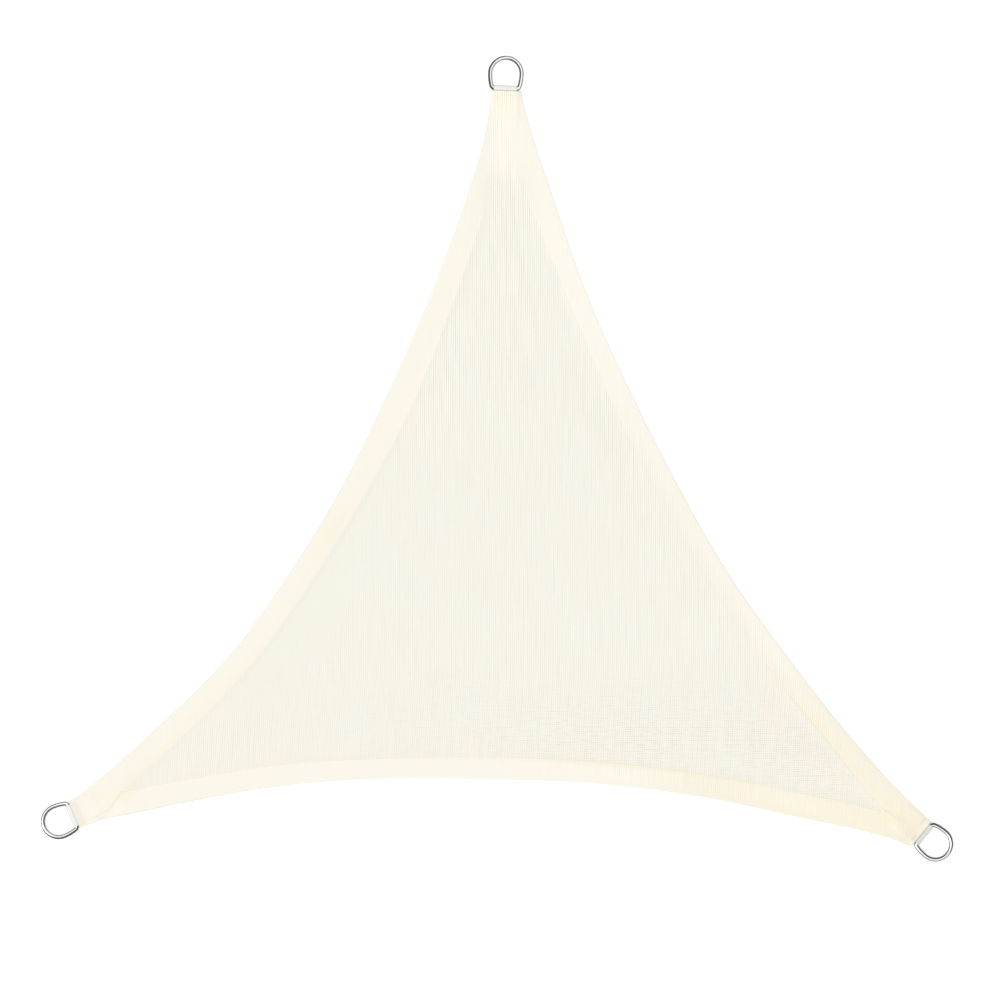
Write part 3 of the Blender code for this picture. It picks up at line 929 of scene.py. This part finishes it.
def stitch_tree(material):
    """Geometry nodes that set stitches along the edges of a mesh line."""
    sizes = (("Pitch", "Float", STITCH_PITCH), ("Length", "Float", STITCH_LENGTH), ("Thread", "Float", THREAD))
    group, t, given, out = new_group(
        "row_of_stitches", "Geometry", (("Geometry", "Geometry", None), *sizes), (("Geometry", "Geometry"),)
    )
    curve = t.node("GeometryNodeMeshToCurve", {"Mesh": given["Geometry"]}).outputs[0]
    row = t.node("GeometryNodeResampleCurve", {"Curve": curve, "Length": given["Pitch"]}, mode="LENGTH")
    bead = t.node("GeometryNodeMeshUVSphere", {"Segments": 6, "Rings": 5, "Radius": 0.5})
    size = t.vector(given["Length"], given["Thread"], given["Thread"])
    thread = t.node("GeometryNodeTransform", {"Geometry": bead.outputs[0], "Scale": size}).outputs[0]
    along = t.node("GeometryNodeInputTangent").outputs[0]
    turn = t.node("FunctionNodeAlignEulerToVector", {"Vector": along}, axis="X").outputs[0]
    # Each stitch lies a little askew.
    spread = {0: (0.0, -0.03, -0.09), 1: (0.0, 0.03, 0.09), "Seed": 11}
    sway = t.node("FunctionNodeRandomValue", spread, data_type="FLOAT_VECTOR").outputs[0]
    turns = {"Rotation": turn, "Rotate By": sway}
    turned = t.node("FunctionNodeRotateEuler", turns, rotation_type="EULER", space="LOCAL").outputs[0]
    places = {"Points": row.outputs[0], "Instance": thread, "Rotation": turned}
    made = t.node("GeometryNodeInstanceOnPoints", places).outputs[0]
    made = t.node("GeometryNodeRealizeInstances", {"Geometry": made}).outputs[0]
    made = t.node("GeometryNodeSetShadeSmooth", {"Geometry": made}).outputs[0]
    finish = t.node("GeometryNodeSetMaterial", {"Geometry": made, "Material": material})
    t.put(out["Geometry"], finish.outputs[0])
    return group


def make_stitches(name, lines, tree, material, thread):
    """Rows of stitches along lines of points on the cloth's face, as one plain mesh."""
    bm = bmesh.new()
    for line in lines:
        level = face_level(line)[0] + CLOTH_THICK / 2 + thread * 0.15
        verts = [bm.verts.new((*p, z)) for p, z in zip(line, level)]
        for a, b in zip(verts, verts[1:]):
            bm.edges.new((a, b))
    rows = new_object(f"{name}_rows", new_mesh(f"{name}_rows", bm))
    sewing = rows.modifiers.new("stitches", "NODES")
    sewing.node_group = tree
    sizes = {"Pitch": STITCH_PITCH, "Length": STITCH_LENGTH, "Thread": thread}
    for item in tree.interface.items_tree:
        if item.item_type == "SOCKET" and item.in_out == "INPUT" and item.name in sizes:
            sewing[item.identifier] = sizes[item.name]
    mesh = applied_mesh(rows, name)
    mesh.materials.clear()
    return add_piece(name, mesh, material)


def seam_lines():
    """The hem's rows of stitches in pale thread, and those in darker thread, which show."""
    pale, dark = [], []
    for k, side in enumerate(sides):
        line = side.line(side.hem - SEAM_IN)
        plan = Plan(line)
        line = line[plan.from_hem > -SEAM_IN - TOUCH]
        split = {0: 0, 1: len(line), 2: int(len(line) * 0.22)}[k]
        dark += [line[: split + 1]] if split else []
        pale += [line[split:]] if split < len(line) else []
    return pale, dark


def tack_lines(corner):
    for name, first_x, first_y, last_x, last_y in TACK_ROWS:
        if name == corner.name:
            yield corner.plan(np.linspace(first_x, last_x, 24), np.linspace(first_y, last_y, 24))


def mitre_lines():
    """The right corner's row along its mitre, and the left one's zigzag, each stitch a line across the mitre."""
    yield np.linspace(*RIGHT_MITRE, 8)
    xs, ys = zip(*MITRE)
    for t in np.linspace(0, len(MITRE) - 1, 23):
        middle = np.array([np.interp(t, range(len(MITRE)), values) for values in (xs, ys)])
        yield np.array([middle - MITRE_STITCH, middle + MITRE_STITCH])


# ---- materials


def new_material(name, finish=()):
    """A material, its tree and the inputs of its shader, with the values that are the same all over."""
    material = bpy.data.materials.new(name)
    material.use_nodes = True
    surface = material.node_tree.nodes["Principled BSDF"].inputs
    for key, value in dict(finish).items():
        surface[key].default_value = value
    return material, Tree(material.node_tree), surface


# The yarn of the cloth's body and hem and of its warm and olive places; the gaps in the knit, painted darker as
# the shade of the floor seen through them; the edges and cut ends, painted darker for wear and as shade along the
# fold and the cut; the straps, with the grey of their painted shade; and the rings
BODY_YARN, HEM_YARN = (0.839, 0.815, 0.727, 1), (0.881, 0.848, 0.762, 1)
WARM_YARN, OLIVE_YARN = (0.872, 0.800, 0.600, 1), (0.800, 0.780, 0.580, 1)
BODY_GAP_SHADE, HEM_GAP_SHADE = (0.50, 0.50, 0.42, 1), (0.68, 0.62, 0.48, 1)
EDGE_WEAR_AND_SHADE, CUT_END_TAN_AND_SHADE = (0.58, 0.57, 0.58, 1), (0.50, 0.42, 0.29, 1)
STRAP_LOW, STRAP_HIGH, PAINTED_STRAP_GREY = (0.77, 0.77, 0.74, 1), (0.885, 0.880, 0.840, 1), (0.58, 0.59, 0.60, 1)
STEEL, SMUDGED_STEEL = (0.80, 0.80, 0.79, 1), (0.70, 0.70, 0.68, 1)
WARP_PITCH, WEFT_PITCH = 0.00125, 0.0016
LEAN = -0.07  # how far the ribs lean below the old fold
TWIN = 0.16  # how much more open every second gap stands
RIB_CHANGES, ROW_CHANGES = 9.0, 42.0  # how often in a metre a gap opens and closes along its way
RIB_UNEVEN, ROW_UNEVEN = 0.31, 0.75  # and by how much
# How the drift of the yarn's colour, and lying below the old fold, change the red, green and blue
DRIFT_TINT, FOLD_TINT = (0.030, -0.018, -0.036), (0.0, -0.006, -0.005)


def knit_group():
    """The knit: ribs of looped thread along Y, tied across in every row. The ribs wander a little and lean below
    the old fold; each gap between ribs or rows stands more or less open along its way, every second one less."""
    sizes = {"Rib Pitch": 0.00469, "Row Pitch": 0.00486, "Gap Width": 0.36, "Row Gap": 0.30, "Rib Depth": 0.2}
    sizes.update({"Row Depth": 0.2, "Wander": 0.006})
    inputs = [("Flat", "Vector", None), *((label, "Float", value) for label, value in sizes.items())]
    group, t, given, out = new_group("knitted_ribs", "Shader", inputs, (("Eye", "Float"), ("Height", "Float")))
    sway = t.noise(given["Flat"], 5.0, 0.0)[1]
    reach = t.vector(given["Wander"], given["Wander"])
    moved = t.node("ShaderNodeVectorMath", {0: sway, 1: reach, 2: given["Flat"]}, operation="MULTIPLY_ADD")
    place = t.split(moved.outputs[0])
    below = t.math("MINIMUM", t.math("SUBTRACT", place[1], FOLD_LINE), 0.0)
    leaning = t.times_plus(below, LEAN, place[0])

    def gaps(way, pitch, width, along, uneven, seed):
        """How far each point is from its thread's middle, in pitches, the lines between threads, and how open
        they stand."""
        steps = t.math("DIVIDE", way, pitch)
        off = t.math("ABSOLUTE", t.math("SUBTRACT", t.math("FRACT", steps), 0.5))
        line = t.ramp(t.math("SUBTRACT", off, t.times_plus(width, -0.5, 0.5)), -0.07, 0.07)
        count = t.math("FLOOR", t.math("ADD", steps, 0.5))
        lane = t.vector(t.times_plus(count, 0.73, seed), along)
        opened = t.ramp(t.noise(lane, 1.0, 1.0)[0], 0.3, 0.7, 1.0 - uneven, 1.0 + uneven)
        twin = t.times_plus(t.math("FLOORED_MODULO", count, 2.0), TWIN, 1.0 - TWIN / 2)
        return off, line, t.times(t.times(line, opened), twin)

    way, pitch, width = t.times(place[1], RIB_CHANGES), given["Rib Pitch"], given["Gap Width"]
    off, gap, open_rib = gaps(leaning, pitch, width, way, RIB_UNEVEN, 0.0)
    way, pitch, width = t.times(place[0], ROW_CHANGES), given["Row Pitch"], given["Row Gap"]
    _, between, open_row = gaps(place[1], pitch, width, way, ROW_UNEVEN, 31.0)
    rib_eye = t.times(open_rib, given["Rib Depth"])
    # The rows show most where they cross the gaps between ribs.
    row_eye = t.times(t.times(open_row, given["Row Depth"]), t.times_plus(gap, 1.1, 0.42))
    # Loops: little chevrons up each rib
    phase = t.times(t.math("DIVIDE", place[1], given["Row Pitch"]), 3.0)
    chevron = t.math("SINE", t.times(t.times_plus(off, -2.2, phase), math.tau))
    loops = t.times(t.math("SUBTRACT", 1.0, gap), t.times_plus(chevron, 0.22, 0.78))
    t.put(out["Eye"], t.math("ADD", rib_eye, row_eye, clamp=True))
    t.put(out["Height"], t.math("MAXIMUM", loops, t.times_plus(between, -0.35, 0.35)))
    return group


def streak_group():
    """Unevenness of yarn and dye: mottling, grain, fine streaks along the ribs, and a drift of their colour."""
    inputs = (("Streak", "Float", 0.5), ("Mottle", "Float", 0.5), ("Grain", "Float", 0.0))
    outputs = (("Shade", "Float"), ("Drift", "Float"))
    group, t, given, out = new_group("uneven_yarn", "Shader", (("Flat", "Vector", None), *inputs), outputs)

    def noise(x, y, detail, shift=0.0):
        stretched = t.node("ShaderNodeMapping", {"Vector": given["Flat"], "Scale": (x, y, 1.0)})
        stretched.inputs["Location"].default_value = (shift, shift, shift)
        return t.math("SUBTRACT", t.noise(stretched.outputs[0], 1.0, detail)[0], 0.5)

    fine, slow = noise(400.0, 12.0, 1.0), noise(90.0, 5.0, 2.0)
    streak = t.times(t.times_plus(slow, 0.3, fine), given["Streak"])
    streak = t.times_plus(noise(430.0, 430.0, 0.0), given["Grain"], streak)
    t.put(out["Shade"], t.times_plus(noise(9.0, 9.0, 4.0), given["Mottle"], streak))
    narrow = t.times_plus(noise(70.0, 8.0, 1.0, 3.0), 0.6, noise(260.0, 10.0, 1.0, 5.0))
    t.put(out["Drift"], t.times_plus(noise(9.0, 6.0, 2.0, 9.0), 0.8, narrow))
    return group


def cloth_material(knit, streaks):
    finish = {"Roughness": 0.85, "Specular IOR Level": 0.25, "Sheen Weight": 0.1}
    material, t, surface = new_material("ivory_knitted_cloth", finish)
    flat = t.attribute("flat", "Vector")
    maps = {name: t.attribute(name) for name in CLOTH_MAPS}
    below_fold = t.ramp(t.split(flat)[1], FOLD_LINE + 0.001, FOLD_LINE - 0.002)
    # Below the old fold the ribs stand less open, and the rows more.
    rib_depth = t.times(maps["rib_depth"], t.times_plus(below_fold, -0.3, 1.0))
    row_depth = t.times(maps["row_depth"], t.times_plus(below_fold, 0.7, 0.3))
    depths = {"Flat": flat, "Rib Depth": rib_depth, "Row Depth": row_depth}
    knitted = t.node("ShaderNodeGroup", depths, node_tree=knit).outputs
    given = {"Flat": flat, "Streak": 0.08, "Mottle": 0.02, "Grain": 0.035}
    uneven = t.node("ShaderNodeGroup", given, node_tree=streaks)
    # The doubled hem looks lighter and yellower; in places its tone comes in softly.
    stepped = t.ramp(maps["from_hem"], 0.0008, -0.0008)
    on_hem = t.mix(maps["faded"], stepped, maps["tone"], kind="FLOAT")
    thread = t.mix(on_hem, BODY_YARN, HEM_YARN)
    thread = t.mix(maps["warmth"], thread, WARM_YARN)
    thread = t.mix(maps["olive"], thread, OLIVE_YARN)
    # Painted shade: the gaps in the knit are painted darker, for the shadowed floor seen through them.
    colour = t.mix(knitted["Eye"], thread, t.mix(on_hem, BODY_GAP_SHADE, HEM_GAP_SHADE))
    shade = t.times(uneven.outputs["Shade"], maps["unevenness"])
    shade = t.math("SUBTRACT", t.math("ADD", shade, 1.0), maps["dusk"])
    # The threads between open gaps look lighter, so that the whole keeps its tone.
    for depth, gain in ((rib_depth, 0.17), (row_depth, 0.06), (below_fold, 0.003)):
        shade = t.times_plus(depth, gain, shade)
    drift = t.times(uneven.outputs["Drift"], maps["unevenness"])
    tint = [t.times_plus(below_fold, b, t.times_plus(drift, a, shade)) for a, b in zip(DRIFT_TINT, FOLD_TINT)]
    colour = t.mix(1.0, colour, t.colour(*tint), blend="MULTIPLY")
    # The folded edge and the cut end are painted darker: a little wear and soiling, and painted shade along the
    # fold and the cut end.
    edge_wear_and_shade = t.ramp(maps["from_edge"], 0.0022, 0.0)
    colour = t.mix(t.times(edge_wear_and_shade, maps["soiling_and_shade"]), colour, EDGE_WEAR_AND_SHADE)
    cut = t.ramp(maps["from_end"], 0.0022, 0.0006)
    colour = t.mix(t.times(cut, maps["soiling_and_shade"]), colour, CUT_END_TAN_AND_SHADE)
    t.put(surface["Base Color"], colour)
    t.put(surface["Normal"], t.bump(knitted["Height"], 0.5, 0.0005))
    return material


def webbing_material(streaks):
    material, t, surface = new_material("white_webbing", {"Roughness": 0.6, "Sheen Weight": 0.15})
    flat = t.node("ShaderNodeUVMap", uv_map="flat").outputs[0]
    place = t.split(flat)
    warp = t.math("DIVIDE", place[0], WARP_PITCH)
    weft = t.math("DIVIDE", place[1], WEFT_PITCH)
    odd = t.times(t.math("MODULO", t.math("FLOOR", warp), 2.0), 0.5)
    cord = t.math("SINE", t.times(t.math("FRACT", warp), math.pi))
    float_over = t.math("ABSOLUTE", t.math("SINE", t.times(t.math("ADD", weft, odd), math.pi)))
    height = t.times(t.math("POWER", t.math("ABSOLUTE", cord), 0.6), t.math("POWER", float_over, 0.5))
    uneven = t.node("ShaderNodeGroup", {"Flat": flat, "Streak": 0.04, "Mottle": 0.02}, node_tree=streaks)
    colour = t.mix(t.ramp(height, 0.05, 0.75), STRAP_LOW, STRAP_HIGH)
    # Painted shade: the right strap's upper side and each strap's turn round the bar are painted grey.
    colour = t.mix(t.attribute("painted_shade"), colour, PAINTED_STRAP_GREY)
    shade = t.math("ADD", uneven.outputs["Shade"], 1.0)
    t.put(surface["Base Color"], t.mix(1.0, colour, t.colour(shade, shade, shade), blend="MULTIPLY"))
    t.put(surface["Normal"], t.bump(height, 0.6, 0.0004))
    return material


def steel_material():
    material, t, surface = new_material("polished_steel", {"Metallic": 1.0})
    place = t.node("ShaderNodeTexCoord").outputs["Object"]
    smudge = t.noise(place, 60.0, 3.0)[0]
    fine = t.node("ShaderNodeMapping", {"Vector": place, "Scale": (900.0, 900.0, 2500.0)}).outputs[0]
    scratch = t.noise(fine, 1.0, 2.0)[0]
    t.put(surface["Roughness"], t.ramp(smudge, 0.35, 0.7, 0.06, 0.16))
    t.put(surface["Base Color"], t.mix(t.ramp(smudge, 0.4, 0.7), STEEL, SMUDGED_STEEL))
    t.put(surface["Normal"], t.bump(scratch, 0.06, 0.0001))
    return material


def thread_material(name, low, high):
    material, t, surface = new_material(name, {"Roughness": 0.7})
    place = t.node("ShaderNodeTexCoord").outputs["Object"]
    ply = t.node("ShaderNodeTexWave", {"Vector": place, "Scale": 900.0, "Distortion": 2.0}).outputs[1]
    t.put(surface["Base Color"], t.mix(ply, low, high))
    t.put(surface["Normal"], t.bump(ply, 0.4, 0.0001))
    return material


# ---- camera, floor and light

VIEW_MIDDLE = (0.0065, -0.0909)
VIEW_WIDTH = 2.2
VIEW_LEVEL = 0.002  # the height at which the view is that wide
LENS = 300.0
FILM = 36.0
FLOOR_HALF = 15


def make_camera():
    data = bpy.data.cameras.new("camera")
    data.lens = LENS
    data.sensor_width = FILM
    data.clip_end = 100
    camera = new_object("camera", data)
    camera.location = (*VIEW_MIDDLE, VIEW_WIDTH * LENS / FILM + VIEW_LEVEL)
    bpy.context.scene.camera = camera


def make_floor():
    bm = bmesh.new()
    bmesh.ops.create_grid(bm, x_segments=1, y_segments=1, size=FLOOR_HALF)
    finish = {"Base Color": (0.95, 0.95, 0.95, 1), "Roughness": 0.9}
    finish.update({"Emission Color": (1, 1, 1, 1), "Emission Strength": 0.40})
    floor = new_object("floor", new_mesh("floor", bm))
    floor.data.materials.append(new_material("white_floor", finish)[0])
    floor.visible_glossy = False


KEY_FROM = (-0.75, -0.35, 1.0)


def make_light():
    """An even white dome, which the polished steel mirrors as bright above, dim low down, and a soft key."""
    world = bpy.data.worlds.new("studio")
    world.use_nodes = True
    bpy.context.scene.world = world
    t = Tree(world.node_tree)
    up = t.split(t.node("ShaderNodeTexCoord").outputs["Generated"])[2]
    high = t.ramp(up, 0.22, 0.58, 0.05, 1.2)
    low = t.ramp(up, -0.05, -0.45, 0.0, 0.35)
    level = t.math("ADD", high, low)
    mirrored = t.colour(level, level, level)
    glossy = t.node("ShaderNodeLightPath").outputs["Is Glossy Ray"]
    back = world.node_tree.nodes["Background"].inputs
    t.put(back["Color"], t.mix(glossy, (0.93, 0.93, 0.93, 1), mirrored))
    t.put(back["Strength"], 1.0)
    data = bpy.data.lights.new("soft_key", "SUN")
    data.energy = 0.75
    data.angle = math.radians(40)
    new_object("soft_key", data).rotation_euler = Vector(KEY_FROM).to_track_quat("Z", "Y").to_euler()


def flag_material():
    """A matt dark card, lower and thinning out towards its ends."""
    material, t, _ = new_material("dark_card")
    uv = t.split(t.node("ShaderNodeUVMap", uv_map="flat").outputs[0])
    top = t.times(t.ramp(uv[0], 0.0, 0.38, 0.45), t.ramp(uv[0], 1.0, 0.66, 0.45))
    inside = t.times(t.ramp(uv[0], 0.0, 0.06), t.ramp(uv[0], 1.0, 0.92))
    inside = t.times(inside, t.ramp(uv[1], top, t.math("SUBTRACT", top, 0.08)))
    dark = t.node("ShaderNodeEmission", {"Color": (0.100, 0.092, 0.085, 1)}).outputs[0]
    clear = t.node("ShaderNodeBsdfTransparent").outputs[0]
    mixed = t.node("ShaderNodeMixShader", {0: inside, 1: clear, 2: dark}).outputs[0]
    t.put(material.node_tree.nodes["Material Output"].inputs["Surface"], mixed)
    return material


FLAG_REACH = 0.25
FLAG_SIDE = 108  # degrees from the ring's outward direction
FLAG_HALF = 114
FLAG_TOP = 87


def make_flags():
    """A dark card in the shape of a dome's side by each ring, which only the polished steel shows."""
    material = flag_material()
    for corner in corners:
        bm = bmesh.new()
        flat = bm.loops.layers.uv.new("flat")
        rows = []
        across, up = np.linspace(0, 1, 25), np.linspace(0, 1, 9)
        for v in up:
            a = math.radians(1 + (FLAG_TOP - 1) * v)
            row = []
            for u in across:
                b = math.radians(FLAG_SIDE - FLAG_HALF + 2 * FLAG_HALF * u)
                out = Vector((math.cos(a) * math.cos(b), math.cos(a) * math.sin(b), math.sin(a))) * FLAG_REACH
                row.append(bm.verts.new(corner.place @ (Vector((RING_REACH - CROWN_R, 0, 0)) + out)))
            rows.append(row)
        for i in range(len(up) - 1):
            for j in range(len(across) - 1):
                face = bm.faces.new((rows[i][j], rows[i][j + 1], rows[i + 1][j + 1], rows[i + 1][j]))
                places = ((j, i), (j + 1, i), (j + 1, i + 1), (j, i + 1))
                for loop, (a, b) in zip(face.loops, places):
                    loop[flat].uv = (across[a], up[b])
        flag = new_object(f"flag_{corner.name}", new_mesh(f"flag_{corner.name}", bm))
        flag.data.materials.append(material)
        flag.visible_camera = flag.visible_diffuse = flag.visible_shadow = flag.visible_transmission = False


# ---- sail


def main():
    make_camera()
    knit, streaks = knit_group(), streak_group()
    ivory, white = cloth_material(knit, streaks), webbing_material(streaks)
    steel = steel_material()
    ecru = thread_material("ecru_sewing_thread", (0.84, 0.80, 0.68, 1), (0.90, 0.86, 0.76, 1))
    ochre = thread_material("ochre_sewing_thread", (0.58, 0.48, 0.28, 1), (0.74, 0.63, 0.40, 1))
    brown = thread_material("brown_sewing_thread", (0.34, 0.27, 0.15, 1), (0.52, 0.42, 0.26, 1))

    cloth = make_cloth(ivory)
    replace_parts(cloth, "sail_cloth")
    fittings = [make_strap(corner, white) for corner in corners]
    fittings += [make_ring(corner, steel) for corner in corners]
    pale, dark = seam_lines()
    fittings.append(make_stitches("pale_hem_stitches", pale, stitch_tree(ecru), ecru, 0.0004))
    sewing = stitch_tree(ochre)
    fittings.append(make_stitches("ochre_hem_stitches", dark, sewing, ochre, 0.0005))
    top, _, right = corners
    rows = [*tack_lines(top), *mitre_lines()]
    fittings.append(make_stitches("ochre_corner_stitches", rows, sewing, ochre, 0.0004))
    sewing = stitch_tree(brown)
    fittings.append(make_stitches("brown_corner_stitches", tack_lines(right), sewing, brown, 0.0007))
    make_floor()
    make_light()
    make_flags()
    bpy.context.scene.view_settings.view_transform = "Standard"


main()
